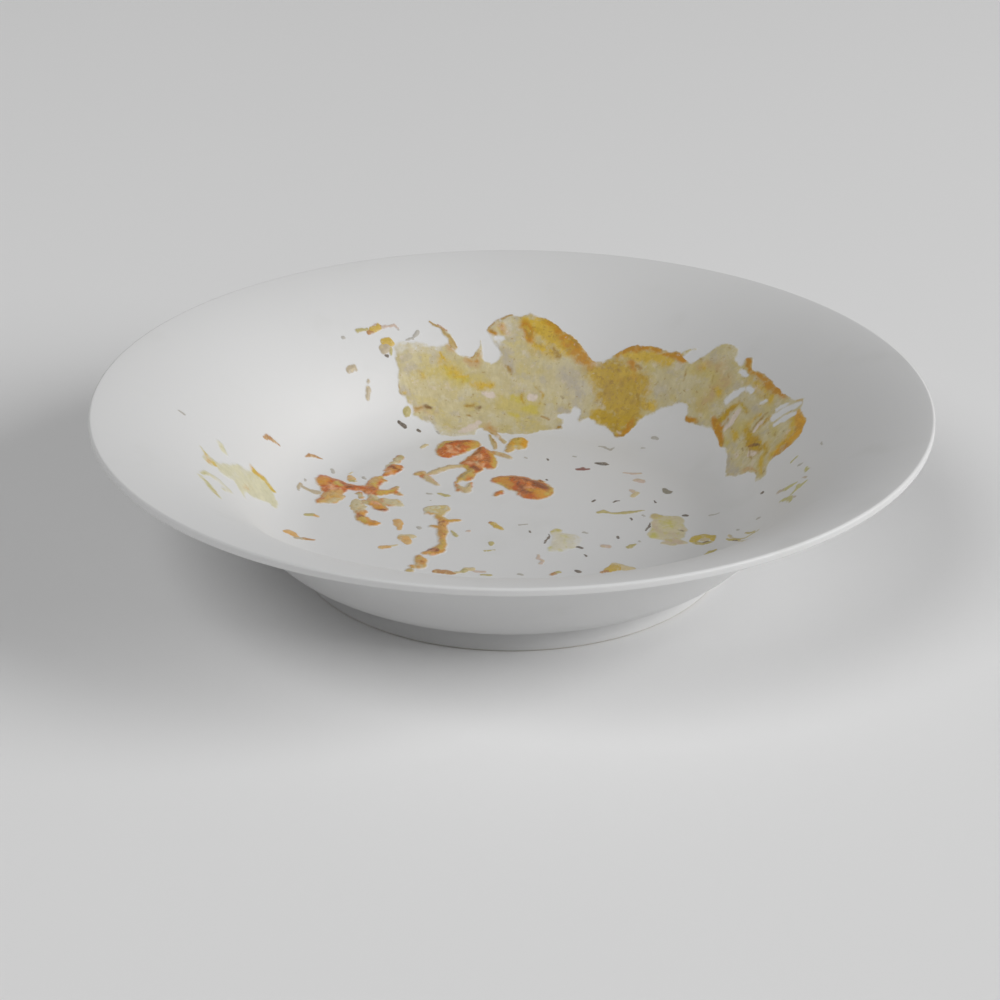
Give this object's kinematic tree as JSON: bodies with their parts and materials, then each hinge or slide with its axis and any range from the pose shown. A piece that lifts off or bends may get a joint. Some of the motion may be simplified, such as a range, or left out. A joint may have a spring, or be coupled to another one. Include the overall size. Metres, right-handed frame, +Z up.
{
  "type": "dirty dinner plate",
  "caption": "Deep porcelain dinner plate with a wide rim and foot ring, soiled with a dried golden sauce smear on the wall and tomato scraps in the well.",
  "frame": {"origin": "centre of the foot ring's underside, on the plate's axis", "axes": "+Z up along the plate's axis, +X to the right and +Y away from the viewer of the side where the long smear lies on the far wall"},
  "size_m": [0.27, 0.27, 0.0563],
  "materials": {
    "porcelain": "smooth white glaze",
    "golden_sauce": "dried, semi-gloss",
    "pale_sauce": "dried, semi-gloss",
    "cream_sauce": "dried, semi-gloss",
    "tomato": "moist pulp",
    "orange_oil": "oily, semi-gloss"
  },
  "bodies": {
    "root": {"plate": "porcelain", "sauce_smear": "golden_sauce", "sauce_patch": "pale_sauce", "cream_patch_right": "cream_sauce", "cream_patch_middle": "cream_sauce", "tomato_left": "tomato", "tomato_middle": "tomato", "tomato_bean": "tomato", "tomato_cluster": "tomato", "tomato_streak": "tomato", "orange_blob": "orange_oil"}
  },
  "joints": []
}
